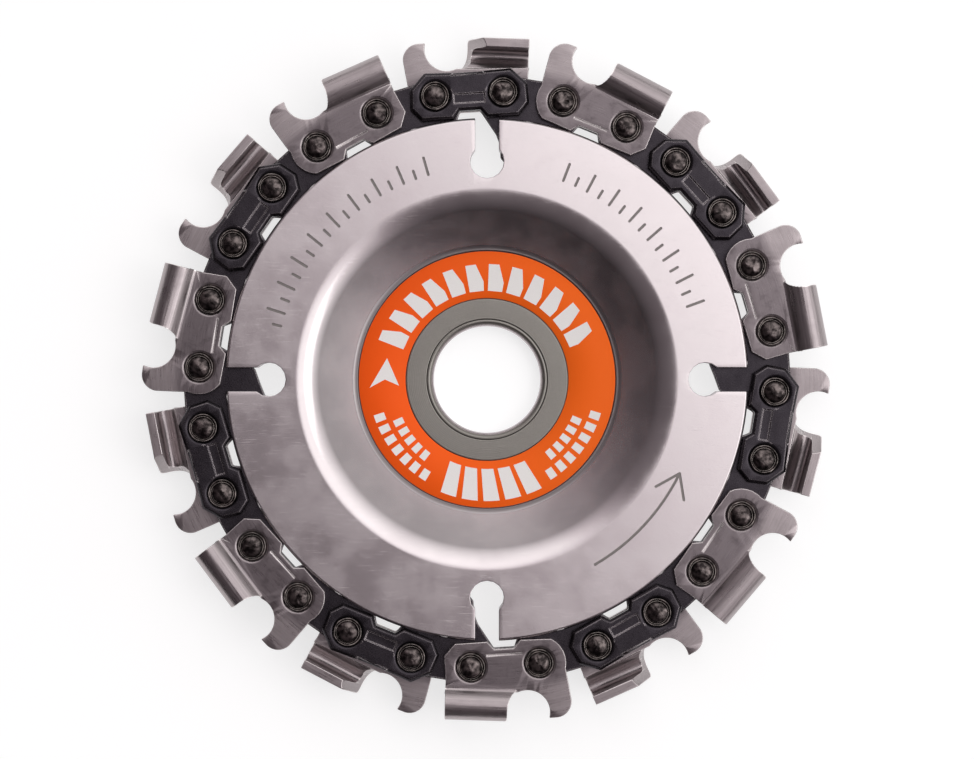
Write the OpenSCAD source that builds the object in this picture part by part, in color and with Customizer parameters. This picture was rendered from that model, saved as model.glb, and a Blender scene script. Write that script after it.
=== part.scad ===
// Angle grinder carving disc: a closed loop of saw chain held between two dished steel plates.
// Frame: +Z up through the bore towards the labelled front. The origin is the bore's centre on
// the hub's back face. Seen from the front, the disc cuts turning anticlockwise.

/* [Chain] */
// Distance between the two rivets of a cutter link
outer_pitch = 10.1; // [10:0.05:10.3]
// Distance between the two rivets of a drive link
drive_pitch = 8.95; // [8.8:0.05:9.1]
// Thickness of a drive link
drive_t = 1.3; // [1.2:0.05:1.5]
// Thickness of a tie strap and of a cutter's plate
strap_t = 1.35; // [1.2:0.05:1.45]
// Height of a cutter's top edge above the rivet line
cutter_top = 8.5; // [8.2:0.05:8.7]
// Radius of a rivet's head
rivet_head_r = 2.1; // [1.9:0.05:2.2]
// Angle of the first cutter's middle, anticlockwise from +X
first_link_angle = 67.9; // [0:0.1:360]

/* [Plates] */
// Thickness of each plate
plate_t = 1.5; // [1.2:0.1:1.6]
// Depth of the front plate's dish
dish_depth = 6; // [5.5:0.1:6.5]
// Radius of the flat hub at the bottom of the dish
hub_r = 19.5; // [19.4:0.1:20]
// Radius of the spindle bore
bore_r = 8; // [7.5:0.05:8.1]
// Width of the four keyhole slots
slot_w = 3.5; // [3:0.1:4]

/* [Label] */
// Inner radius of the label ring
label_in_r = 12.2; // [11:0.1:14]
// Outer radius of the label ring
label_out_r = 19.2; // [17:0.1:19.2]
// Thickness of the label
label_t = 0.12; // [0.08:0.02:0.16]

/* [Hidden] */
$fn = 48;
eps = 0.01;

// Chain layout. The rivets lie on one circle, with long and short chords in turn.
link_count = 14;
link_step = 360 / link_count;
half_step = link_step / 2;
half_outer = atan2(outer_pitch * sin(half_step), drive_pitch + outer_pitch * cos(half_step));
rivet_circle_r = outer_pitch / 2 / sin(half_outer);
outer_line_r = rivet_circle_r * cos(half_outer);
drive_line_r = sqrt(pow(rivet_circle_r, 2) - pow(drive_pitch / 2, 2));

// Heights in the stack. Everything is built up from the hub's back face.
chain_play = 0.05;
tang_gap = drive_t + 2 * chain_play;
front_hub_z = plate_t;
front_rim_z = front_hub_z + dish_depth;
chain_z = front_rim_z - tang_gap / 2;
back_rim_z = front_rim_z - tang_gap - plate_t;
strap_in_z = drive_t / 2 + chain_play;
strap_out_z = strap_in_z + strap_t;

// Outer link outline, measured from the middle of the rivet line
foot_y = -3.6;
notch_y = -2.4;
notch_top = 1.45;
foot_in = 2.45;
foot_out = 7.2;
end_x = 8.9;
end_r = 4;
shoulder_y = 3.6;
rim_play = 0.1;
rim_r = sqrt(pow(outer_line_r + foot_y, 2) + pow(foot_in, 2)) - rim_play;

// Rivets
rivet_neck_r = 1.8;
rivet_body_r = 2.4;
rivet_head_h = 0.6;
strap_hole_r = rivet_neck_r + 0.05;
strap_sink_r = 2.5;
strap_sink_h = 0.35;
drive_hole_r = rivet_body_r + 0.1;

// Cutter
gullet_r = 3.3;
gullet_at = [-2.9, 7.2];
file_r = 2.8;
file_at = [-2.8, 6.7];
file_angle = 27;
top_front_x = -0.9;
top_rear_x = 9.5;
top_relief = 5.5;
top_reach = 2.2;
raker_x = -9.5;
raker_r = 2.4;
raker_top = 8.2;

// Plates
dish_angle = 43;
hub_bend_r = 1;
shoulder_bend_r = 5;
nest_gap = 0.3;
collar_r = bore_r + 1;
collar_play = 0.05;
collar_chamfer = 0.6;
label_sink = label_t + 0.03;
label_play = 0.1;
rim_chamfer = 0.35;
keyhole_r = 2.5;
keyhole_at_r = 32.2;
keyhole_count = 4;

// Stamped marks on the front plate
mark_depth = 0.15;
mark_w = 0.4;
mark_r = 31.6;
mark_step = 3.5;
tick_long = 3;
tick_short = 1.6;

function numbered(stem, i) = str(stem, i < 9 ? "0" : "", i + 1);
function arc(centre, r, from, to, steps) =
    [for (i = [0 : steps]) let (a = from + (to - from) * i / steps) centre + r * [cos(a), sin(a)]];
function mirrored(points) = [for (i = [len(points) - 1 : -1 : 0]) [-points[i][0], points[i][1]]];
function link_angle(i) = first_link_angle + i * link_step;

LINKS = [0 : link_count - 1];

// ---- Placing the chain's parts ----

// The frame of link i: x runs back along the chain, y points outward, z = 0 is the chain's mid-plane.
module at_link(i) {
    rotate([0, 0, link_angle(i) - 90]) translate([0, outer_line_r, chain_z]) children();
}

// The frame of the drive link that trails link i
module at_drive(i) {
    rotate([0, 0, link_angle(i) - half_step - 90]) translate([0, drive_line_r, chain_z]) children();
}

// Cutters stand on the front and on the back of the chain in turn.
module on_side(i, opposite = false) {
    flip = (i % 2 == 1) != opposite;
    mirror([0, 0, flip ? 1 : 0]) children();
}

// ---- Flat shapes ----

// The part of a ring between two angles, drawn with true arcs
module ring_sector(r_in, r_out, from, to) {
    reach = 2 * r_out;
    intersection() {
        difference() {
            circle(r_out);
            circle(r_in);
        }
        polygon([[0, 0], reach * [cos(from), sin(from)], reach * [cos((from + to) / 2), sin((from + to) / 2)],
            reach * [cos(to), sin(to)]]);
    }
}

// ---- Plates ----

// A flat ring that stands on z = 0
module tube(r_in, r_out, h) {
    difference() {
        cylinder(r = r_out, h = h);
        translate([0, 0, -eps]) cylinder(r = r_in, h = h + 2 * eps);
    }
}

// Half section of a dished plate. The hub is flat from z_hub and the rim is flat from z_rim. The
// inner points close the section at the bore, and the rim points close it at the edge.
module dish_section(inner, r_hub, bend_in, z_hub, z_rim, rim) {
    bend_out = shoulder_bend_r;
    rise = z_rim - z_hub;
    slope = (rise - (bend_in + bend_out) * (1 - cos(dish_angle))) / sin(dish_angle);
    r_shoulder = r_hub + (bend_in + bend_out) * sin(dish_angle) + slope * cos(dish_angle);
    hub_bend_at = [r_hub, z_hub + plate_t + bend_in];
    shoulder_at = [r_shoulder, z_rim + plate_t - bend_out];
    polygon(concat(
        inner,
        arc(hub_bend_at, bend_in, 270, 270 + dish_angle, 6),
        arc(shoulder_at, bend_out, 90 + dish_angle, 90, 6),
        rim,
        arc(shoulder_at, bend_out - plate_t, 90, 90 + dish_angle, 6),
        arc(hub_bend_at, bend_in + plate_t, 270 + dish_angle, 270, 6)
    ));
}

// The four slots with a round inner end, open at the rim
module keyholes() {
    for (i = [0 : keyhole_count - 1]) {
        rotate([0, 0, i * 360 / keyhole_count]) translate([0, 0, -eps]) {
            translate([keyhole_at_r, 0, 0]) cylinder(r = keyhole_r, h = front_rim_z + 2 * plate_t);
            translate([keyhole_at_r, -slot_w / 2, 0])
                cube([rim_r - keyhole_at_r + 1, slot_w, front_rim_z + 2 * plate_t]);
        }
    }
}

module back_plate() {
    collar_z = 2 * plate_t - collar_play;
    collar = [[bore_r, 0], [bore_r, collar_z - collar_chamfer], [bore_r + collar_chamfer, collar_z],
        [collar_r, collar_z], [collar_r, plate_t]];
    rim = [[rim_r, back_rim_z + plate_t], [rim_r, back_rim_z + rim_chamfer], [rim_r - rim_chamfer, back_rim_z]];
    color("silver") difference() {
        rotate_extrude() dish_section(collar, hub_r + nest_gap, hub_bend_r + plate_t, 0, back_rim_z, rim);
        keyholes();
    }
}

// An arc-shaped arrow that shows which way the disc turns
module turn_arrow() {
    tail = -60;
    head = -26;
    barb = 4;
    ring_sector(mark_r - mark_w / 2, mark_r + mark_w / 2, tail, head);
    for (spread = [-35, 35]) {
        rotate(head) translate([mark_r, 0]) rotate(spread)
            translate([-mark_w / 2, -barb]) square([mark_w, barb]);
    }
}

// A row of long and short ticks between two angles
module tick_row(from, to) {
    steps = floor((to - from) / mark_step);
    for (i = [0 : steps]) {
        length = i % 2 == 0 ? tick_long : tick_short;
        rotate(from + i * mark_step) translate([mark_r - mark_w, -mark_w / 2]) square([length, mark_w]);
    }
}

module front_plate() {
    hole_r = collar_r + collar_play;
    top_z = front_rim_z + plate_t;
    hole = [[hole_r, front_hub_z], [hole_r, front_hub_z + plate_t]];
    rim = [[rim_r - rim_chamfer, top_z], [rim_r, top_z - rim_chamfer], [rim_r, front_rim_z]];
    color("gainsboro") difference() {
        rotate_extrude() dish_section(hole, hub_r, hub_bend_r, front_hub_z, front_rim_z, rim);
        keyholes();
        translate([0, 0, front_hub_z + plate_t - label_sink])
            tube(label_in_r - label_play, label_out_r + label_play, label_sink + eps);
        translate([0, 0, top_z - mark_depth]) linear_extrude(mark_depth + eps) {
            turn_arrow();
            tick_row(20, 70);
            tick_row(106, 166);
        }
    }
}

module label() {
    color("orangered") translate([0, 0, front_hub_z + plate_t - label_sink]) tube(label_in_r, label_out_r, label_t);
}

// ---- Rivets ----

// A rivet on its own axis: a wide middle for the drive link, two necks and two domed heads
module rivet() {
    head_z = strap_out_z + 0.02;
    dome_r = (pow(rivet_head_r, 2) + pow(rivet_head_h, 2)) / (2 * rivet_head_h);
    color("dimgray") union() {
        cylinder(r = rivet_body_r, h = 2 * (strap_in_z - 0.02), center = true);
        cylinder(r = rivet_neck_r, h = 2 * head_z, center = true);
        for (up = [0, 1]) {
            mirror([0, 0, up]) translate([0, 0, head_z]) intersection() {
                translate([0, 0, rivet_head_h - dome_r]) sphere(dome_r);
                cylinder(r = rivet_head_r + 1, h = rivet_head_h + 1);
            }
        }
    }
}

module leading_rivets() {
    for (i = LINKS) {
        at_link(i) translate([-outer_pitch / 2, 0, 0]) rivet();
    }
}

module trailing_rivet(i) {
    at_link(i) translate([outer_pitch / 2, 0, 0]) rivet();
}

// ---- Outer links ----

// The two rivet holes through a strap or cutter, with a shallow countersink on the outside
module strap_holes() {
    for (x = [-outer_pitch / 2, outer_pitch / 2]) {
        translate([x, 0, 0]) {
            cylinder(r = strap_hole_r, h = 2 * strap_out_z);
            translate([0, 0, strap_out_z - strap_sink_h])
                cylinder(r1 = strap_hole_r, r2 = strap_sink_r + eps, h = strap_sink_h + eps);
        }
    }
}

// A convex plate with a bevel round its outer face
module bevelled_plate(points, bevel) {
    hull() {
        linear_extrude(strap_t - bevel) polygon(points);
        linear_extrude(strap_t) offset(delta = -bevel) polygon(points);
    }
}

module tie_strap() {
    end_shape = [[2.2, 3.3], [6.4, 3.45], [8.7, 1.1], [8.8, -1.8], [foot_out, foot_y], [foot_in, foot_y],
        [1.2, -2]];
    bevel = 0.4;
    waist = [[-3.2, notch_y], [3.2, notch_y], [3.2, 3.25], [-3.2, 3.25]];
    channel = [4.6, 1.4, 0.2];
    color("#34323a") difference() {
        translate([0, 0, strap_in_z]) {
            bevelled_plate(end_shape, bevel);
            bevelled_plate(mirrored(end_shape), bevel);
            bevelled_plate(waist, bevel);
        }
        strap_holes();
        translate([-channel[0] / 2, -1.3, strap_out_z - channel[2]]) cube(channel);
    }
}

// The cutter's flat plate with its feet and depth gauge, before the gullet is cut
module cutter_plate() {
    linear_extrude(strap_t) polygon(concat(
        arc([-outer_pitch / 2, 0], end_r, 165, 240, 6),
        [[-foot_in, foot_y], [-notch_top, notch_y], [notch_top, notch_y], [foot_in, foot_y], [foot_out, foot_y],
            [end_x, -1.9], [end_x, 1.9], [top_rear_x - 0.4, shoulder_y], [gullet_at[0], shoulder_y + 0.6],
            [-5.6, 5.5], [-5.6, raker_top]],
        arc([raker_x + raker_r, raker_top - raker_r], raker_r, 95, 180, 8),
        [[-9.1, 2.4]]
    ));
}

// Section of the bent part in y and z: it swells outward from the plate and folds over the chain
module cutter_section() {
    bend_a = 1.3;
    bend_b = 1.6;
    flat = 0.6;
    swing = 50;
    half_t = strap_t / 2;
    along = [cos(swing), sin(swing)];
    across = [sin(swing), -cos(swing)];
    start_y = cutter_top - half_t - bend_b - (bend_a + bend_b) * sin(swing) - flat * cos(swing);
    bend_a_at = [start_y, strap_in_z + half_t + bend_a];
    bend_b_at = bend_a_at + (bend_a + bend_b) * across + flat * along;
    polygon(concat(
        [[start_y - 1, strap_in_z], [start_y - 1, strap_out_z]],
        arc(bend_a_at, bend_a - half_t, 270, 270 + swing, 4),
        arc(bend_b_at, bend_b + half_t, 90 + swing, 0, 12),
        [[cutter_top, -top_reach], [cutter_top - strap_t, -top_reach]],
        arc(bend_b_at, bend_b - half_t, 0, 90 + swing, 8),
        arc(bend_a_at, bend_a + half_t, 270 + swing, 270, 4)
    ));
}

// The bent side and top plate, with its relief angle and the filed, slanting front edge
module cutting_edge() {
    length = top_rear_x - top_front_x;
    difference() {
        translate([top_front_x, cutter_top, 0]) rotate([0, 0, -top_relief])
            translate([0, -cutter_top, 0]) rotate([90, 0, 90]) linear_extrude(length) cutter_section();
        translate([file_at[0], file_at[1], strap_out_z + 1]) rotate([0, -file_angle, 0])
            cylinder(r = file_r, h = 20, center = true);
    }
}

module cutter() {
    groove = [5.2, 0.25, 0.12];
    color("lightgray") difference() {
        union() {
            difference() {
                translate([0, 0, strap_in_z]) cutter_plate();
                translate([gullet_at[0], gullet_at[1], 0]) cylinder(r = gullet_r, h = 2 * strap_out_z);
            }
            cutting_edge();
        }
        strap_holes();
        translate([-groove[0] / 2, -1.7, strap_out_z - groove[2]]) cube(groove + [0, 0, eps]);
    }
}

// ---- Drive links ----

module drive_link() {
    body_r = 3.1;
    top_y = 2.6;
    half = drive_pitch / 2;
    color("#2b2a2e") difference() {
        translate([0, 0, -drive_t / 2]) linear_extrude(drive_t) polygon(concat(
            [[-half, top_y]],
            arc([-half, -0.4], body_r, 120, 200, 6),
            [[-7.3, -3.3], [-4.5, -6.3], [-3.7, -7.7], [-3.3, -9.6], [-2.5, -10.3], [-0.5, -9.4], [1.6, -8.7],
                [3.7, -8.1], [5.4, -6], [7.3, -3.3]],
            arc([half, -0.4], body_r, -20, 60, 6),
            [[half, top_y]]
        ));
        for (x = [-half, half]) {
            translate([x, 0, 0]) cylinder(r = drive_hole_r, h = 2 * drive_t, center = true);
        }
    }
}

// ---- The parts ----

back_plate();
front_plate();
label();
leading_rivets();
for (i = LINKS) {
    at_link(i) on_side(i) cutter();
    at_link(i) on_side(i, opposite = true) tie_strap();
    at_drive(i) drive_link();
    trailing_rivet(i);
}
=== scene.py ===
"""The looks of the angle grinder carving disc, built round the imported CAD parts.

The cutters, tie straps and drive links are the CAD parts with their edges softened. The two plates, the
label and the rivets are finer meshes made here that stand for their CAD nodes. Lengths are in
millimetres until a mesh is made, angles are in degrees, and the image's up is +Y.
"""

import math

import bmesh
import bpy
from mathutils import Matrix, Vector, noise


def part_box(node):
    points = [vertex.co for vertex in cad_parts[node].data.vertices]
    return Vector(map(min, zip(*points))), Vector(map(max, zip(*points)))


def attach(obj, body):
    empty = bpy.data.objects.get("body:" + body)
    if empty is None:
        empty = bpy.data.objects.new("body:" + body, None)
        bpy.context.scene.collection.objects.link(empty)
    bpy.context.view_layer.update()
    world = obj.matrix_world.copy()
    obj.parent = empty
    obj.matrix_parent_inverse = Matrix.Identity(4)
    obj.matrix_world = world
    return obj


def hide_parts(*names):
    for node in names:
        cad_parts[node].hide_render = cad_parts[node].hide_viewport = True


MM = 0.001
SAME_POINT = 1e-5

# The chain, as the CAD lays it out
LINK_COUNT = 14
LINK_STEP = 360 / LINK_COUNT
FIRST_LINK_ANGLE = 67.9
OUTER_PITCH = 10.1
CHAIN_Z = 6.8
STRAP_OUT_Z = 2.05

# The plates, as the CAD sizes them
PLATE_T = 1.5
BORE_R = 8.0
BORE_FRONT_CHAMFER = 0.6
BORE_BACK_CHAMFER = 0.25
COLLAR_R = 9.0
COLLAR_TOP_Z = 2.95
COLLAR_PLAY = 0.05
HUB_R = 19.5
DISH_ANGLE = 43
HUB_BEND_R = 1.0
SHOULDER_BEND_R = 5.0
NEST_GAP = 0.3
FRONT_HUB_Z = 1.5
FRONT_HUB_TOP_Z = FRONT_HUB_Z + PLATE_T
FRONT_RIM_Z = 7.5
FRONT_RIM_TOP_Z = FRONT_RIM_Z + PLATE_T
BACK_RIM_Z = 4.6
RIM_R = 38.61
RIM_CHAMFER = 0.35
SLOT_W = 3.5
KEYHOLE_R = 2.5
KEYHOLE_AT_R = 32.2
KEYHOLE_COUNT = 4
SLOT_TOOL_R = RIM_R + 2
SLOT_TOOL_LOW_Z = -1
LABEL_IN_R = 12.2
LABEL_OUT_R = 19.2
LABEL_PLAY = 0.1
LABEL_SINK = 0.15

# The stamped marks, with angles from +X
MARK_DEPTH = 0.15
MARK_W = 0.4
MARK_R = 31.6
ARROW_TAIL = -60
ARROW_HEAD = -26
BARB_LENGTH = 4
BARB_SPREAD = 35
TICK_ROWS = ((20, 70), (106, 166))
TICK_STEP = 3.5
TICK_FOOT_R = MARK_R - 0.2
LONG_TICK = 2.6
SHORT_TICK = 1.2

# The label's print, with angles clockwise from up. The arrowhead's corners are each a radius and an angle, a
# row of bars is its two radii and its count, and a group of bars is its middle and the way it runs.
PRINT_T = 0.02
TOOTH_COUNT = 12
TOOTH_STEP = 11.8
TOOTH_RADII = (13.3, 17.3)
ARROWHEAD = ((15.3, -78), (13.2, -94), (15.3, -90), (17.6, -94))
BAR_ROWS = (((13.9, 15.4), 5), ((16.2, 17.8), 7))
BAR_GROUPS = ((-127, 1), (122, -1))
BAR_STEP = 6.2
BAR_LENGTH = 3.9
BLOCK_COUNT = 5
BLOCK_RADII = (13.4, 18.2)
BLOCK_STEP = 10.4
BLOCK_LENGTH = 7.6
BLOCK_SHIFT = 1.2
BLOCK_SLANT = -2.0

# How finely the new meshes are cut
LATHE_STEPS = 192
BEND_STEPS = 12
RIVET_STEPS = 48
STROKE_END_STEPS = 8
PATCH_STEPS = 8

# How edges are found and rounded
WELD_GAP = 0.001
PLATE_WELD_GAP = 0.02
SHARP_ANGLE = math.radians(28)
CREASE_ANGLE = math.radians(50)
SHORTEST_EDGE = 0.15
ROUND_SEGMENTS = 2
PLATE_ROUNDING = 0.10
OUTER_LINK_ROUNDING = 0.10
DRIVE_LINK_ROUNDING = 0.14
LABEL_ROUNDING = 0.04

# The rivets. Their heads are dented by two scales of noise, from a little above the strap's outer face
# upwards. The noise also pushes them aside, and its place is shifted from rivet to rivet.
RIVET_WAIST_R = 2.36
DENTS_START = 0.05
DENTS_PER_MM = 0.9
DENT_DEPTH = 0.16
FINE_DENTS_PER_MM = 2.4
FINE_DENT_DEPTH = 0.06
HEAD_SINK = 0.01
HEAD_SWAY = 0.05
DENT_SHIFT = (7.3, 3.1)

# Colours as linear red, green and blue. A pair holds the two ends of a mottled colour.
PLATE_STEEL = ((0.53, 0.488, 0.496), (0.59, 0.548, 0.555))
PLATE_SCRATCH = (0.78, 0.75, 0.74)
TURNED_RING = ((0.21, 0.20, 0.182), (0.27, 0.258, 0.236))
# Painted shade for the tight bend round the label
BEND_SHADE = (0.10, 0.085, 0.085)
STAMPED_STEEL = ((0.16, 0.145, 0.14), (0.30, 0.28, 0.27))
CUTTER_BODY = ((0.125, 0.106, 0.113), (0.20, 0.174, 0.182))
CUTTER_STAIN = (0.07, 0.058, 0.062)
# The ground faces' colour: partly their own finish, partly a painted highlight
CUTTER_GROUND_AND_HIGHLIGHT = ((0.27, 0.235, 0.24), (0.50, 0.45, 0.455))
# The cutters' edge colour: rubbed metal and a painted highlight together
CUTTER_EDGE = (0.86, 0.81, 0.80)
BLUED_STEEL = ((0.019, 0.016, 0.020), (0.050, 0.044, 0.051))
BLUED_SCUFF = (0.13, 0.12, 0.125)
# The blued edge colour: rubbed metal and a painted highlight together
BLUED_EDGE = (0.46, 0.42, 0.43)
RIVET_STEEL = ((0.018, 0.015, 0.015), (0.14, 0.118, 0.114))
# The rivets' edge colour: wear and a painted highlight together
RIVET_EDGE = (0.55, 0.50, 0.46)
# The film's colour at the left and at the right: the lighter right end is painted light
LABEL_FILM_SHADED_TO_LIT = ((0.97, 0.110, 0.008), (0.96, 0.150, 0.011))
LABEL_DOT = (0.70, 0.06, 0.005)
LABEL_INK = ((0.80, 0.78, 0.75), (0.92, 0.91, 0.89))
FLOOR_PAINT = ((0.36, 0.36, 0.36), (0.40, 0.40, 0.40))
WHITE = (1.0, 1.0, 1.0)

# The steels' patterns: the scratches' stretch and turn, the turned ring's wave in radians to a millimetre,
# and the draw marks' spots to a radian round the disc and to a millimetre across it
SCRATCH_STRETCH = (0.25, 9.0, 1.0)
SCRATCH_TURN = (0, 0, 0.6)
TURNING_WAVE = 24.0
DRAW_MARKS_ROUND = 12.0
DRAW_MARKS_ACROSS = 5.0

# The studio. The room's pairs of levels and of softness are for the horizon and for straight overhead.
FLOOR_HALF_SIZE = 3000
FLOOR_CELLS = 8
FLOOR_GAP = 0.02
FLOOR_GLOW = 0.70
KEY_DIRECTION = (0.62, -0.06, 0.78)
KEY_DISTANCE_M = 0.75
KEY_SIZE_M = 0.36
KEY_POWER = 0.5
UP = (0.0, 0.0, 1.0)
LIT_SIDE = (0.77, 0.64, 0.0)
LIT_FROM = -0.075
LIT_FULLY = 0.095
WALL_SIDE = (-0.64, 0.77, 0.0)
WALL_LEVEL = 0.08
SOFTNESS = (9.0, 1.0)
DARK_LEVELS = (0.01, 0.20)
LIGHT_LEVELS = (0.36, 1.90)
DARK_TINT = (1.0, 0.86, 0.92)
LIGHT_TINT = (1.0, 0.975, 0.98)
LENS_MM = 98
CAMERA_HEIGHT_M = 0.4
CLIP_START_M = 0.01


# ---- Node graphs ----


def add(tree, kind, settings=None, **inputs):
    """A new shader node. Each input is a plain value or another node's output socket."""
    node = tree.nodes.new("ShaderNode" + kind)
    for name, value in (settings or {}).items():
        setattr(node, name, value)
    for name, value in inputs.items():
        place = int(name[2:]) if name.startswith("in") and name[2:].isdigit() else name.replace("_", " ")
        feed(tree, node.inputs[place], value)
    return node


def feed(tree, socket, value):
    """Sets an input to a value, or links another node's output socket to it."""
    if isinstance(value, bpy.types.NodeSocket):
        tree.links.new(value, socket)
    elif socket.type == "RGBA" and len(value) == 3:
        socket.default_value = (*value, 1)
    else:
        socket.default_value = value


def maths(tree, operation, a, b=0.0):
    """One number from one or two others."""
    return add(tree, "Math", {"operation": operation}, in0=a, in1=b).outputs[0]


def times(tree, a, b):
    """The product of two numbers."""
    return maths(tree, "MULTIPLY", a, b)


def plus(tree, a, b):
    """The sum of two numbers."""
    return maths(tree, "ADD", a, b)


def remap(tree, value, low, high, to_low=0.0, to_high=1.0):
    """Maps low..high smoothly onto to_low..to_high, clamped at both ends."""
    settings = {"interpolation_type": "SMOOTHSTEP"}
    node = add(tree, "MapRange", settings, Value=value, From_Min=low, From_Max=high,
               To_Min=to_low, To_Max=to_high)
    return node.outputs["Result"]


def ramp(tree, value, at_zero, at_one):
    """A straight change from one level at 0 to another at 1, clamped at both ends."""
    return add(tree, "MapRange", Value=value, To_Min=at_zero, To_Max=at_one).outputs["Result"]


def along(tree, direction, axis):
    """How far a direction goes along an axis, from -1 to 1."""
    return add(tree, "VectorMath", {"operation": "DOT_PRODUCT"}, in0=direction, in1=axis).outputs["Value"]


def blend_colours(tree, share, first, second):
    """The first colour at share 0 and the second at share 1."""
    first_place, second_place, result_place = 6, 7, 2
    node = add(tree, "Mix", {"data_type": "RGBA"}, in0=share)
    feed(tree, node.inputs[first_place], first)
    feed(tree, node.inputs[second_place], second)
    return node.outputs[result_place]


def millimetres(tree):
    """The point being shaded, in the part's own frame, in millimetres."""
    place = add(tree, "TexCoord").outputs["Object"]
    return add(tree, "VectorMath", {"operation": "SCALE"}, in0=place, Scale=1 / MM).outputs[0]


def polar(tree):
    """The shaded point's radius, angle in radians and height."""
    x, y, z = add(tree, "SeparateXYZ", Vector=millimetres(tree)).outputs
    squares = plus(tree, times(tree, x, x), times(tree, y, y))
    return maths(tree, "SQRT", squares), maths(tree, "ARCTAN2", y, x), z


def grain(tree, vector, scale, detail=3.0, roughness=0.55):
    """Noise between 0 and 1, with scale in spots per millimetre."""
    noise_node = add(tree, "TexNoise", Vector=vector, Scale=scale, Detail=detail, Roughness=roughness)
    return noise_node.outputs["Fac"]


def edge_wear_and_highlight(tree, radius):
    """1 on edges sharper than the radius in millimetres, and 0 on flat ground. The materials use it for
    rubbed wear and for a painted edge highlight.
    """
    rounded = add(tree, "Bevel", {"samples": 4}, Radius=radius * MM).outputs[0]
    flat = add(tree, "NewGeometry").outputs["Normal"]
    return remap(tree, along(tree, rounded, flat), low=0.999, high=0.95)


def bump(tree, height, depth):
    """A bumped normal, with depth in millimetres for a height of 0 to 1."""
    return add(tree, "Bump", Height=height, Distance=depth * MM).outputs[0]


def new_material(name):
    """An empty material, its tree and its main shader."""
    material = bpy.data.materials.new(name)
    material.use_nodes = True
    tree = material.node_tree
    tree.nodes.clear()
    surface = add(tree, "BsdfPrincipled")
    tree.links.new(surface.outputs[0], add(tree, "OutputMaterial").inputs["Surface"])
    return material, tree, surface


def wire(tree, surface, **inputs):
    """Sets the main shader's inputs to values or sockets."""
    for name, value in inputs.items():
        feed(tree, surface.inputs[name.replace("_", " ")], value)


def metal(tree, surface, colour, rough, normal, share=1.0):
    """Makes the main shader a metal. A share under 1 leaves a trace of a dull coat."""
    wire(tree, surface, Base_Color=colour, Metallic=share, Roughness=rough, Normal=normal)


# ---- Materials ----


def plate_steel():
    """Satin pressed steel: faint mottling, fine scratches and a turned, greyer ring round the bore."""
    material, tree, surface = new_material("plate_steel_satin")
    place = millimetres(tree)
    radius, _, height = polar(tree)
    on_hub = remap(tree, height, low=FRONT_HUB_TOP_Z - 0.4, high=FRONT_HUB_TOP_Z - 0.3)
    mottle = remap(tree, grain(tree, place, scale=0.16, detail=3.0, roughness=0.5), low=0.25, high=0.75)
    fine = grain(tree, place, scale=3.5, detail=5.0, roughness=0.7)
    streaks = add(tree, "Mapping", Vector=place, Scale=SCRATCH_STRETCH, Rotation=SCRATCH_TURN).outputs[0]
    scratch = remap(tree, grain(tree, streaks, scale=1.0), low=0.62, high=0.72)
    colour = blend_colours(tree, mottle, *PLATE_STEEL)
    colour = blend_colours(tree, times(tree, scratch, 0.25), colour, PLATE_SCRATCH)

    in_ring = times(tree, remap(tree, radius, low=LABEL_IN_R + 0.05, high=LABEL_IN_R - 0.05), on_hub)
    turned = maths(tree, "SINE", times(tree, radius, TURNING_WAVE))
    colour = blend_colours(tree, in_ring, colour, blend_colours(tree, fine, *TURNED_RING))

    # Painted shade: the tight bend between the label and the slope is darkened where its shadow line falls
    past_label = remap(tree, radius, low=LABEL_OUT_R - 0.1, high=LABEL_OUT_R + 0.05)
    before_slope = remap(tree, radius, low=HUB_R + 0.8, high=HUB_R + 0.2)
    in_bend = times(tree, times(tree, before_slope, past_label), on_hub)
    colour = blend_colours(tree, times(tree, in_bend, 0.8), colour, BEND_SHADE)

    uneven = plus(tree, mottle, times(tree, fine, 0.5))
    rough = remap(tree, uneven, low=0.4, high=1.1, to_low=0.18, to_high=0.23)
    rough = plus(tree, rough, times(tree, plus(tree, in_ring, in_bend), 0.18))
    relief = plus(tree, times(tree, fine, 0.5), times(tree, scratch, -0.3))
    relief = plus(tree, relief, times(tree, times(tree, turned, in_ring), 0.5))
    metal(tree, surface, colour, rough, bump(tree, relief, depth=0.006))
    return material


def stamped_steel():
    """The dark floor and walls of the stamped marks."""
    material, tree, surface = new_material("stamped_steel")
    speck = grain(tree, millimetres(tree), scale=4.0)
    colour = blend_colours(tree, speck, *STAMPED_STEEL)
    metal(tree, surface, colour, rough=0.5, normal=bump(tree, speck, depth=0.01))
    return material


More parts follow.
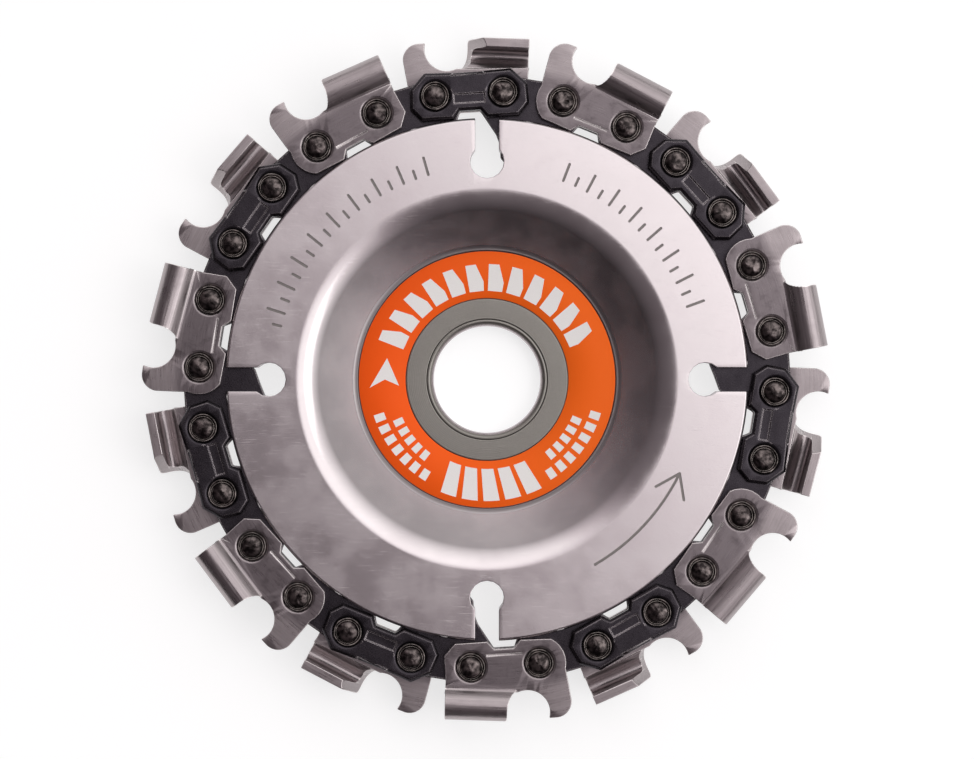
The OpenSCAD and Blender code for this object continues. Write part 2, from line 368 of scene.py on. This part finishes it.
def cutter_steel():
    """Cutter steel: a dull flat body with draw marks and stains. Its ground faces and teeth are brighter,
    partly their own finish and partly a painted highlight. Its edges are rubbed bright and carry painted
    highlights.
    """
    material, tree, surface = new_material("cutter_steel_satin")
    place = millimetres(tree)
    radius, angle, height = polar(tree)
    round_about = times(tree, angle, DRAW_MARKS_ROUND)
    across, down = times(tree, radius, DRAW_MARKS_ACROSS), times(tree, height, DRAW_MARKS_ACROSS)
    drawn_place = add(tree, "CombineXYZ", X=round_about, Y=across, Z=down).outputs[0]
    drawn = grain(tree, drawn_place, scale=1.0, detail=4.0, roughness=0.6)
    stain = grain(tree, place, scale=0.45, detail=4.0, roughness=0.65)
    fine = grain(tree, place, scale=6.0, detail=4.0, roughness=0.7)
    body = blend_colours(tree, drawn, *CUTTER_BODY)
    body = blend_colours(tree, remap(tree, stain, low=0.52, high=0.72, to_high=0.55), body, CUTTER_STAIN)

    # Ground faces and teeth: the lighter colour is partly their own finish and partly a painted highlight
    facing = add(tree, "SeparateXYZ", Vector=add(tree, "NewGeometry").outputs["Normal"]).outputs[2]
    leaning = remap(tree, maths(tree, "ABSOLUTE", facing), low=0.97, high=0.88)
    near_tip = remap(tree, radius, low=44.8, high=46.8, to_high=0.6)
    ground = maths(tree, "MAXIMUM", leaning, near_tip)
    colour = blend_colours(tree, ground, body, blend_colours(tree, drawn, *CUTTER_GROUND_AND_HIGHLIGHT))
    # Edges: rubbed bright steel and a painted highlight
    worn_and_highlit = times(tree, edge_wear_and_highlight(tree, radius=0.18), 0.85)
    colour = blend_colours(tree, worn_and_highlit, colour, CUTTER_EDGE)

    rough = remap(tree, plus(tree, drawn, stain), low=0.6, high=1.4, to_low=0.24, to_high=0.38)
    relief = plus(tree, drawn, times(tree, fine, 0.5))
    metal(tree, surface, colour, rough, bump(tree, relief, depth=0.008))
    return material


def blued_steel():
    """Blued link steel: near black with a violet cast, rubbed bright along its edges, which also carry a
    painted highlight.
    """
    material, tree, surface = new_material("blued_steel_worn")
    place = millimetres(tree)
    cloud = grain(tree, place, scale=0.5, detail=4.0)
    fine = grain(tree, place, scale=5.0, detail=5.0, roughness=0.75)
    colour = blend_colours(tree, cloud, *BLUED_STEEL)
    scuff = remap(tree, fine, low=0.60, high=0.75, to_high=0.45)
    colour = blend_colours(tree, scuff, colour, BLUED_SCUFF)
    # Edges: rubbed bright steel and a painted highlight
    patchy = remap(tree, fine, low=0.3, high=0.6, to_low=0.55)
    colour = blend_colours(tree, times(tree, edge_wear_and_highlight(tree, radius=0.22), patchy), colour, BLUED_EDGE)
    rough = remap(tree, fine, low=0.3, high=0.7, to_low=0.20, to_high=0.34)
    metal(tree, surface, colour, rough, bump(tree, fine, depth=0.012), share=0.95)
    return material


def rivet_steel():
    """Dark bronze-brown rivet steel, polished by peening; wear and a painted highlight lighten its edges."""
    material, tree, surface = new_material("rivet_steel_peened")
    place = millimetres(tree)
    cloud = remap(tree, grain(tree, place, scale=1.3), low=0.35, high=0.70)
    fine = grain(tree, place, scale=7.0, detail=4.0, roughness=0.7)
    colour = blend_colours(tree, cloud, *RIVET_STEEL)
    # Edges: wear and a painted highlight
    colour = blend_colours(tree, times(tree, edge_wear_and_highlight(tree, radius=0.12), 0.5), colour, RIVET_EDGE)
    rough = remap(tree, fine, low=0.3, high=0.7, to_low=0.14, to_high=0.24)
    metal(tree, surface, colour, rough, bump(tree, fine, depth=0.01))
    return material


def label_film():
    """Printed orange film with print grain. Its colour changes slowly from left to right, lighter and
    yellower on the right as painted light falling from that side.
    """
    material, tree, surface = new_material("label_film_orange")
    place = millimetres(tree)
    across = add(tree, "SeparateXYZ", Vector=place).outputs[0]
    dots = grain(tree, place, scale=9.0, detail=2.0)
    # Painted light: the film grows lighter and yellower towards the lit right side
    lit_side_share = remap(tree, across, low=-LABEL_OUT_R, high=LABEL_OUT_R)
    colour = blend_colours(tree, lit_side_share, *LABEL_FILM_SHADED_TO_LIT)
    colour = blend_colours(tree, times(tree, dots, 0.12), colour, LABEL_DOT)
    wire(tree, surface, Base_Color=colour, Roughness=0.55, Specular_IOR_Level=0.12,
         Normal=bump(tree, dots, depth=0.004))
    return material


def white_ink():
    """The label's white print, slightly uneven."""
    material, tree, surface = new_material("label_ink_white")
    dots = grain(tree, millimetres(tree), scale=8.0, detail=2.0)
    colour = blend_colours(tree, dots, *LABEL_INK)
    wire(tree, surface, Base_Color=colour, Roughness=0.45, Normal=bump(tree, dots, depth=0.003))
    return material


def glowing_floor():
    """A white light table, so that the backdrop stays pale under the disc."""
    material, tree, surface = new_material("floor_white")
    colour = blend_colours(tree, grain(tree, millimetres(tree), scale=0.02), *FLOOR_PAINT)
    wire(tree, surface, Base_Color=colour, Roughness=0.9, Emission_Color=WHITE, Emission_Strength=FLOOR_GLOW)
    return material


# ---- Mesh building ----


def at_radius(radius, angle):
    """The flat point at a radius and an angle in degrees."""
    return radius * math.cos(math.radians(angle)), radius * math.sin(math.radians(angle))


def arc(centre, radius, start, end, steps=BEND_STEPS):
    """Points along an arc between two angles in degrees."""
    points = []
    for i in range(steps + 1):
        x, y = at_radius(radius, start + (end - start) * i / steps)
        points.append((centre[0] + x, centre[1] + y))
    return points


def finish_mesh(name, bm, materials):
    """Turns a bmesh in millimetres into a smooth-shaded object in metres."""
    bmesh.ops.remove_doubles(bm, verts=bm.verts, dist=SAME_POINT)
    bmesh.ops.recalc_face_normals(bm, faces=bm.faces)
    bmesh.ops.scale(bm, vec=(MM, MM, MM), verts=bm.verts)
    mesh = bpy.data.meshes.new(name)
    bm.to_mesh(mesh)
    bm.free()
    for material in materials:
        mesh.materials.append(material)
    mesh.shade_smooth()
    piece = bpy.data.objects.new(name, mesh)
    bpy.context.scene.collection.objects.link(piece)
    return piece


def turn(bm, profile, steps):
    """Turns a closed profile of radius and height points about Z."""
    rings = []
    for i in range(steps):
        a = 2 * math.pi * i / steps
        rings.append([bm.verts.new((r * math.cos(a), r * math.sin(a), z)) for r, z in profile])
    for i in range(steps):
        here, there = rings[i], rings[(i + 1) % steps]
        for j in range(len(profile)):
            k = (j + 1) % len(profile)
            if profile[j][0] > 0 or profile[k][0] > 0:
                bm.faces.new((here[j], there[j], there[k], here[k]))


def prism(bm, outline, low, high):
    """A straight prism over a flat outline."""
    bottom = [bm.verts.new((x, y, low)) for x, y in outline]
    top = [bm.verts.new((x, y, high)) for x, y in outline]
    bm.faces.new(list(reversed(bottom)))
    bm.faces.new(top)
    for i in range(len(outline)):
        k = (i + 1) % len(outline)
        bm.faces.new((bottom[i], bottom[k], top[k], top[i]))


def turned_about(points, angle):
    """Flat points turned about the origin by an angle in degrees."""
    c, s = math.cos(math.radians(angle)), math.sin(math.radians(angle))
    return [(x * c - y * s, x * s + y * c) for x, y in points]


def settle(piece):
    """Replaces the piece's mesh with its modified one and drops the modifiers."""
    graph = bpy.context.evaluated_depsgraph_get()
    result = piece.evaluated_get(graph)
    mesh = bpy.data.meshes.new_from_object(result, preserve_all_data_layers=True, depsgraph=graph)
    piece.modifiers.clear()
    old = piece.data
    piece.data = mesh
    bpy.data.meshes.remove(old)


def carve(piece, tool):
    """Cuts the tool's shape out of the piece, and removes the tool."""
    cut = piece.modifiers.new("cut", "BOOLEAN")
    cut.object = tool
    cut.solver = "EXACT"
    cut.material_mode = "TRANSFER"
    settle(piece)
    bpy.data.objects.remove(tool)


def weld(piece, distance):
    """Merges the piece's points that lie closer than a distance in millimetres."""
    piece.modifiers.new("weld", "WELD").merge_threshold = distance * MM


def soften(piece, width):
    """Rounds the sharp edges by a width in millimetres."""
    rounded = piece.modifiers.new("rounded", "BEVEL")
    rounded.width = width * MM
    rounded.segments = ROUND_SEGMENTS
    rounded.limit_method = "ANGLE"
    rounded.angle_limit = SHARP_ANGLE
    rounded.loop_slide = False
    rounded.use_clamp_overlap = False


def edge_key(points):
    """A name for the edge between two points, the same for every copy of the edge."""
    return frozenset(tuple(round(part / MM, 3) for part in point) for point in points)


def mark_edges(mesh, shortest):
    """Marks the sharp edges: those longer than a length in millimetres are rounded, the rest creased."""
    bm = bmesh.new()
    bm.from_mesh(mesh)
    bmesh.ops.remove_doubles(bm, verts=bm.verts, dist=WELD_GAP * MM)
    sharp = [edge for edge in bm.edges if len(edge.link_faces) == 2 and edge.calc_face_angle() > SHARP_ANGLE]
    long = {edge_key(vert.co for vert in edge.verts) for edge in sharp if edge.calc_length() > shortest * MM}
    short = {edge_key(vert.co for vert in edge.verts) for edge in sharp} - long
    bm.free()
    keys = [edge_key(mesh.vertices[i].co for i in edge.vertices) for edge in mesh.edges]
    weights = mesh.attributes.new("bevel_weight_edge", "FLOAT", "EDGE")
    weights.data.foreach_set("value", [float(key in long) for key in keys])
    creases = mesh.attributes.new("sharp_edge", "BOOLEAN", "EDGE")
    creases.data.foreach_set("value", [key in short for key in keys])


def drop_shading(mesh):
    """Clears the shading a mesh came with, and shades it smooth."""
    for name in ("custom_normal", "sharp_edge"):
        if name in mesh.attributes:
            mesh.attributes.remove(mesh.attributes[name])
    mesh.shade_smooth()


def keep_flat(piece):
    """Lets the large faces set the shading at their corners, so that flat ground stays flat."""
    piece.modifiers.new("flat_ground", "WEIGHTED_NORMAL").keep_sharp = True


def smooth(piece):
    """Shades the piece smooth, with creases at its sharp edges and flat ground left flat."""
    drop_shading(piece.data)
    piece.data.set_sharp_from_angle(angle=CREASE_ANGLE)
    keep_flat(piece)


# ---- Plates ----


def dish_profile(inner, hub_r, bend_in, hub_z, rim_z, rim):
    """The half section of a dished plate, closed by its inner points and its rim points."""
    rise = rim_z - hub_z
    lean = math.radians(DISH_ANGLE)
    slope = (rise - (bend_in + SHOULDER_BEND_R) * (1 - math.cos(lean))) / math.sin(lean)
    shoulder_r = hub_r + (bend_in + SHOULDER_BEND_R) * math.sin(lean) + slope * math.cos(lean)
    hub_bend = (hub_r, hub_z + PLATE_T + bend_in)
    shoulder = (shoulder_r, rim_z + PLATE_T - SHOULDER_BEND_R)
    return (
        inner
        + arc(hub_bend, bend_in, 270, 270 + DISH_ANGLE)
        + arc(shoulder, SHOULDER_BEND_R, 90 + DISH_ANGLE, 90)
        + rim
        + arc(shoulder, SHOULDER_BEND_R - PLATE_T, 90, 90 + DISH_ANGLE)
        + arc(hub_bend, bend_in + PLATE_T, 270 + DISH_ANGLE, 270)
    )


def keyhole_tool():
    """The four slots with a round inner end, as one tool."""
    bm = bmesh.new()
    half_open = math.degrees(math.asin(SLOT_W / 2 / KEYHOLE_R))
    outline = arc((KEYHOLE_AT_R, 0), KEYHOLE_R, half_open, 360 - half_open)
    outline += [(SLOT_TOOL_R, -SLOT_W / 2), (SLOT_TOOL_R, SLOT_W / 2)]
    for i in range(KEYHOLE_COUNT):
        turned = turned_about(outline, 360 * i / KEYHOLE_COUNT)
        prism(bm, turned, SLOT_TOOL_LOW_Z, FRONT_RIM_TOP_Z + PLATE_T)
    return finish_mesh("keyhole_tool", bm, [])


def stroke(start, end, width):
    """The outline of a straight stroke with round ends."""
    heading = math.degrees(math.atan2(end[1] - start[1], end[0] - start[0]))
    far_end = arc(end, width / 2, heading - 90, heading + 90, STROKE_END_STEPS)
    near_end = arc(start, width / 2, heading + 90, heading + 270, STROKE_END_STEPS)
    return far_end + near_end


def mark_tools(material):
    """Tools for the stamped marks: an arrow for the turning direction and two rows of ticks. The barbs
    are tools of their own, because they cross the arrow's shaft and each other."""
    low, high = FRONT_RIM_TOP_Z - MARK_DEPTH, FRONT_RIM_TOP_Z + PLATE_T
    tip = at_radius(MARK_R, ARROW_HEAD)
    tools = []
    for spread in (-BARB_SPREAD, BARB_SPREAD):
        barb = at_radius(BARB_LENGTH, ARROW_HEAD - 90 + spread)
        bm = bmesh.new()
        prism(bm, stroke(tip, (tip[0] + barb[0], tip[1] + barb[1]), MARK_W), low, high)
        tools.append(finish_mesh("barb_tool", bm, [material]))
    bm = bmesh.new()
    outer_side = arc((0, 0), MARK_R + MARK_W / 2, ARROW_TAIL, ARROW_HEAD)
    inner_side = arc((0, 0), MARK_R - MARK_W / 2, ARROW_HEAD, ARROW_TAIL)
    prism(bm, outer_side + inner_side, low, high)
    for first, last in TICK_ROWS:
        for i in range(int((last - first) / TICK_STEP) + 1):
            length = LONG_TICK if i % 2 == 0 else SHORT_TICK
            angle = first + i * TICK_STEP
            foot, top = at_radius(TICK_FOOT_R, angle), at_radius(TICK_FOOT_R + length, angle)
            prism(bm, stroke(foot, top, MARK_W), low, high)
    tools.append(finish_mesh("tick_tool", bm, [material]))
    return tools


def plate(name, profile, body, material, marks=None):
    """A dished plate with its slots, softened edges and any stamped marks."""
    bm = bmesh.new()
    turn(bm, profile, LATHE_STEPS)
    piece = finish_mesh(name, bm, [material])
    carve(piece, keyhole_tool())
    weld(piece, PLATE_WELD_GAP)
    soften(piece, PLATE_ROUNDING)
    settle(piece)
    for tool in mark_tools(marks) if marks else []:
        carve(piece, tool)
    smooth(piece)
    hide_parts(body)
    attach(piece, body)


def back_plate(material):
    """The dished plate with the collar."""
    inner = [(BORE_R, BORE_BACK_CHAMFER), (BORE_R, COLLAR_TOP_Z - BORE_FRONT_CHAMFER),
             (BORE_R + BORE_FRONT_CHAMFER, COLLAR_TOP_Z), (COLLAR_R, COLLAR_TOP_Z), (COLLAR_R, PLATE_T)]
    rim_back = BACK_RIM_Z
    rim = [(RIM_R, rim_back + PLATE_T), (RIM_R, rim_back + RIM_CHAMFER), (RIM_R - RIM_CHAMFER, rim_back)]
    profile = dish_profile(inner, HUB_R + NEST_GAP, HUB_BEND_R + PLATE_T, 0, BACK_RIM_Z, rim)
    profile.append((BORE_R + BORE_BACK_CHAMFER, 0))
    plate("back_plate_pressed", profile, "back_plate", material)


def front_plate(material, marks):
    """The dished plate that carries the label, with a shallow recess for it."""
    hole_r = COLLAR_R + COLLAR_PLAY
    recess_in, recess_out = LABEL_IN_R - LABEL_PLAY, LABEL_OUT_R + LABEL_PLAY
    top = FRONT_HUB_TOP_Z
    floor_z = top - LABEL_SINK
    inner = [(hole_r, FRONT_HUB_Z), (hole_r, top), (recess_in, top), (recess_in, floor_z),
             (recess_out, floor_z), (recess_out, top)]
    rim_top = FRONT_RIM_TOP_Z
    rim = [(RIM_R - RIM_CHAMFER, rim_top), (RIM_R, rim_top - RIM_CHAMFER), (RIM_R, FRONT_RIM_Z)]
    profile = dish_profile(inner, HUB_R, HUB_BEND_R, FRONT_HUB_Z, FRONT_RIM_Z, rim)
    plate("front_plate_pressed", profile, "front_plate", material, marks)


# ---- Label ----


def label_ring(material):
    """The film ring, with a softly rounded edge."""
    low, high = (corner.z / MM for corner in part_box("label"))
    profile = [(LABEL_IN_R, low), (LABEL_IN_R, high - LABEL_ROUNDING), (LABEL_IN_R + LABEL_ROUNDING, high),
               (LABEL_OUT_R - LABEL_ROUNDING, high), (LABEL_OUT_R, high - LABEL_ROUNDING), (LABEL_OUT_R, low)]
    bm = bmesh.new()
    turn(bm, profile, LATHE_STEPS)
    piece = finish_mesh("label_film", bm, [material])
    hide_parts("label")
    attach(piece, "front_plate")


def on_ring(corners):
    """Flat points from pairs of a radius and a clockwise angle from up."""
    return [at_radius(radius, 90 - clockwise) for radius, clockwise in corners]


def ring_patch(bm, radii, start, length, slant, heights):
    """A thin block on the ring between two radii, its outer side shifted round by slant degrees."""
    shares = [i / PATCH_STEPS for i in range(PATCH_STEPS + 1)]
    outer = [(radii[1], start + length * share + slant) for share in shares]
    inner = [(radii[0], start + length * share) for share in reversed(shares)]
    prism(bm, on_ring(outer + inner), *heights)


def saw_tooth(bm, middle, heights):
    """A saw tooth on the ring: upright at the back, raked at the front, and blunt at the tip."""
    root, top = TOOTH_RADII
    back_foot, front_foot = middle - 0.45 * TOOTH_STEP, middle + 0.33 * TOOTH_STEP
    back_tip, front_tip = middle - 0.42 * TOOTH_STEP, middle + 0.02 * TOOTH_STEP
    knee_r = root * 0.65 + top * 0.35
    corners = [(root, front_foot), (knee_r, front_foot), (top, front_tip), (top, back_tip), (root, back_foot)]
    prism(bm, on_ring(corners), *heights)


def label_print(material):
    """The white print: plain saw teeth, bars, slanted blocks and an arrowhead in place of any wording."""
    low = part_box("label")[1].z / MM
    heights = (low, low + PRINT_T)
    bm = bmesh.new()
    for i in range(TOOTH_COUNT):
        saw_tooth(bm, (i - (TOOTH_COUNT - 1) / 2) * TOOTH_STEP, heights)
    prism(bm, on_ring(ARROWHEAD), *heights)
    for middle, way in BAR_GROUPS:
        for radii, bars in BAR_ROWS:
            for i in range(bars):
                ring_patch(bm, radii, middle + way * (i - bars / 2) * BAR_STEP, BAR_LENGTH, 0.0, heights)
    for i in range(BLOCK_COUNT):
        start = 180 + (i - BLOCK_COUNT / 2) * BLOCK_STEP + BLOCK_SHIFT
        ring_patch(bm, BLOCK_RADII, start, BLOCK_LENGTH, BLOCK_SLANT, heights)
    piece = finish_mesh("label_print", bm, [material])
    piece.data.shade_flat()
    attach(piece, "front_plate")


# ---- Rivets ----


def rivet_profile():
    """Half of a rivet's section, from the top of its front head to its middle, as radius and height points.
    The heights listed here are measured from the strap's outer face."""
    dome = [(0.0, 0.62), (0.3, 0.615), (0.6, 0.595), (0.85, 0.56), (1.05, 0.515), (1.23, 0.45), (1.38, 0.36),
            (1.50, 0.25), (1.57, 0.13), (1.61, 0.03)]
    groove = [(1.68, -0.02), (1.76, 0.0), (1.83, 0.10)]
    lip = [(1.91, 0.17), (2.00, 0.18), (2.09, 0.12), (2.13, 0.0), (2.10, -0.12), (1.84, -0.3)]
    shank = [(1.8, -1.3), (RIVET_WAIST_R, -1.42)]
    return [(r, STRAP_OUT_Z + z) for r, z in dome + groove + lip + shank]


def dent(vert, shift):
    """Dents a head's point and pushes it aside, by noise that differs from rivet to rivet."""
    broad = noise.noise(vert.co * DENTS_PER_MM + shift) * DENT_DEPTH
    fine = noise.noise(vert.co * FINE_DENTS_PER_MM + shift) * FINE_DENT_DEPTH
    vert.co.z += math.copysign(min(broad + fine, 0.0) - HEAD_SINK, vert.co.z)
    vert.co.x += noise.noise(vert.co * DENTS_PER_MM + shift * 2) * HEAD_SWAY
    vert.co.y += noise.noise(vert.co * DENTS_PER_MM - shift * 2) * HEAD_SWAY


def add_rivet(bm, centre, seed):
    """One peened rivet on its own axis, each head dented in its own way."""
    half = rivet_profile()
    start = len(bm.verts)
    turn(bm, half + [(r, -z) for r, z in reversed(half)], RIVET_STEPS)
    bm.verts.ensure_lookup_table()
    shift = Vector((seed * DENT_SHIFT[0], seed * DENT_SHIFT[1], 0))
    for vert in bm.verts[start:]:
        if abs(vert.co.z) - STRAP_OUT_Z > DENTS_START:
            dent(vert, shift)
        vert.co += centre


def rivet_centre(link, side):
    """The middle of a link's leading rivet for side -1 and of its trailing rivet for side 1."""
    low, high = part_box(f"trailing_rivet_{link:02d}")
    trailing = (low + high) / (2 * MM)
    circle_r = math.hypot(trailing.x, trailing.y)
    half_angle = math.degrees(math.asin(OUTER_PITCH / 2 / circle_r))
    middle = FIRST_LINK_ANGLE + (link - 1) * LINK_STEP
    x, y = at_radius(circle_r, middle - side * half_angle)
    return Vector((x, y, CHAIN_Z))


def peened(name, bm, node, body, material):
    """Makes the rivets in a bmesh stand for a CAD node and ride on a body."""
    piece = finish_mesh(name, bm, [material])
    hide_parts(node)
    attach(piece, body)


def rivets(material):
    """All rivets: the leading ones hold to the chain, and each trailing one to its own link."""
    link_numbers = range(1, LINK_COUNT + 1)
    bm = bmesh.new()
    for link in link_numbers:
        add_rivet(bm, rivet_centre(link, -1), link)
    peened("leading_rivets_peened", bm, "leading_rivets", "chain", material)
    for link in link_numbers:
        bm = bmesh.new()
        add_rivet(bm, rivet_centre(link, 1), LINK_COUNT + link)
        node = f"trailing_rivet_{link:02d}"
        peened(f"{node}_peened", bm, node, f"link_{link:02d}", material)


# ---- Links ----


def dress(node, material, width):
    """Gives a CAD part its material and soft edges. Its own vertices stay as they are."""
    drop_shading(node.data)
    node.data.materials.clear()
    node.data.materials.append(material)
    weld(node, WELD_GAP)
    soften(node, width)
    keep_flat(node)


def links(nodes, cutter, blued):
    """The cutters, tie straps and drive links. Only the long edges of the cutters are rounded, because
    rounding their tiny ones would leave spikes."""
    for name, node in nodes.items():
        if name.startswith("cutter_"):
            dress(node, cutter, OUTER_LINK_ROUNDING)
            mark_edges(node.data, SHORTEST_EDGE)
            node.modifiers["rounded"].limit_method = "WEIGHT"
        elif name.startswith("tie_strap_"):
            dress(node, blued, OUTER_LINK_ROUNDING)
        elif name.startswith("drive_link_"):
            dress(node, blued, DRIVE_LINK_ROUNDING)


# ---- Studio ----


def floor(material):
    """The light table the disc lies on."""
    bm = bmesh.new()
    bmesh.ops.create_grid(bm, x_segments=FLOOR_CELLS, y_segments=FLOOR_CELLS, size=FLOOR_HALF_SIZE)
    piece = finish_mesh("floor", bm, [material])
    piece.location.z = -FLOOR_GAP * MM


def key_light():
    """A square soft box that faces the disc from the right."""
    lamp = bpy.data.lights.new("key", "AREA")
    lamp.shape = "SQUARE"
    lamp.size = KEY_SIZE_M
    lamp.energy = KEY_POWER
    holder = bpy.data.objects.new("key", lamp)
    holder.location = Vector(KEY_DIRECTION).normalized() * KEY_DISTANCE_M
    holder.rotation_mode = "QUATERNION"
    holder.rotation_quaternion = Vector(KEY_DIRECTION).to_track_quat("Z", "Y")
    bpy.context.scene.collection.objects.link(holder)


def sky():
    """A room lit from the upper right. The change from dark to light is steep overhead and slow near the
    horizon, and a pale wall stands at the upper left. The camera sees it all plain white."""
    world = bpy.data.worlds.new("room")
    world.use_nodes = True
    tree = world.node_tree
    tree.nodes.clear()
    direction = add(tree, "TexCoord").outputs["Generated"]
    up = along(tree, direction, UP)
    across = along(tree, direction, LIT_SIDE)
    softness = ramp(tree, up, *SOFTNESS)
    side = remap(tree, maths(tree, "DIVIDE", across, softness), low=LIT_FROM, high=LIT_FULLY)
    level = ramp(tree, side, ramp(tree, up, *DARK_LEVELS), ramp(tree, up, *LIGHT_LEVELS))
    wall = remap(tree, along(tree, direction, WALL_SIDE), low=0.2, high=1.0, to_high=WALL_LEVEL)
    tint = blend_colours(tree, side, DARK_TINT, LIGHT_TINT)
    room = add(tree, "Background", Color=tint, Strength=plus(tree, level, wall)).outputs[0]
    backdrop = add(tree, "Background", Color=WHITE, Strength=1.0).outputs[0]
    seen = add(tree, "LightPath").outputs["Is Camera Ray"]
    both = add(tree, "MixShader", in0=seen, in1=room, in2=backdrop).outputs[0]
    tree.links.new(both, add(tree, "OutputWorld").inputs["Surface"])
    bpy.context.scene.world = world


def camera():
    """A camera straight above the disc, looking down, as far off as the photographer stood."""
    lens = bpy.data.cameras.new("camera")
    lens.lens = LENS_MM
    lens.clip_start = CLIP_START_M
    holder = bpy.data.objects.new("camera", lens)
    holder.location = (0, 0, CAMERA_HEIGHT_M)
    bpy.context.scene.collection.objects.link(holder)
    bpy.context.scene.camera = holder


def studio():
    """Floor, light, room and camera."""
    floor(glowing_floor())
    key_light()
    sky()
    camera()
    view = bpy.context.scene.view_settings
    view.view_transform = "Standard"
    view.look = "None"


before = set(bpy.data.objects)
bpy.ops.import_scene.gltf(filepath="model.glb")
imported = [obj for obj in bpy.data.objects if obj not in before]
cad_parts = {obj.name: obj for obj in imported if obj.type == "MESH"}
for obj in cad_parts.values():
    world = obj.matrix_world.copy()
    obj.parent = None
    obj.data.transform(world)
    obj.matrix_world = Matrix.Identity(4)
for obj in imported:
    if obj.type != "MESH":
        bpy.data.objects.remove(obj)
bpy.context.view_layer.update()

steel = plate_steel()
back_plate(steel)
front_plate(steel, stamped_steel())
label_ring(label_film())
label_print(white_ink())
rivets(rivet_steel())
links(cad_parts, cutter_steel(), blued_steel())
studio()
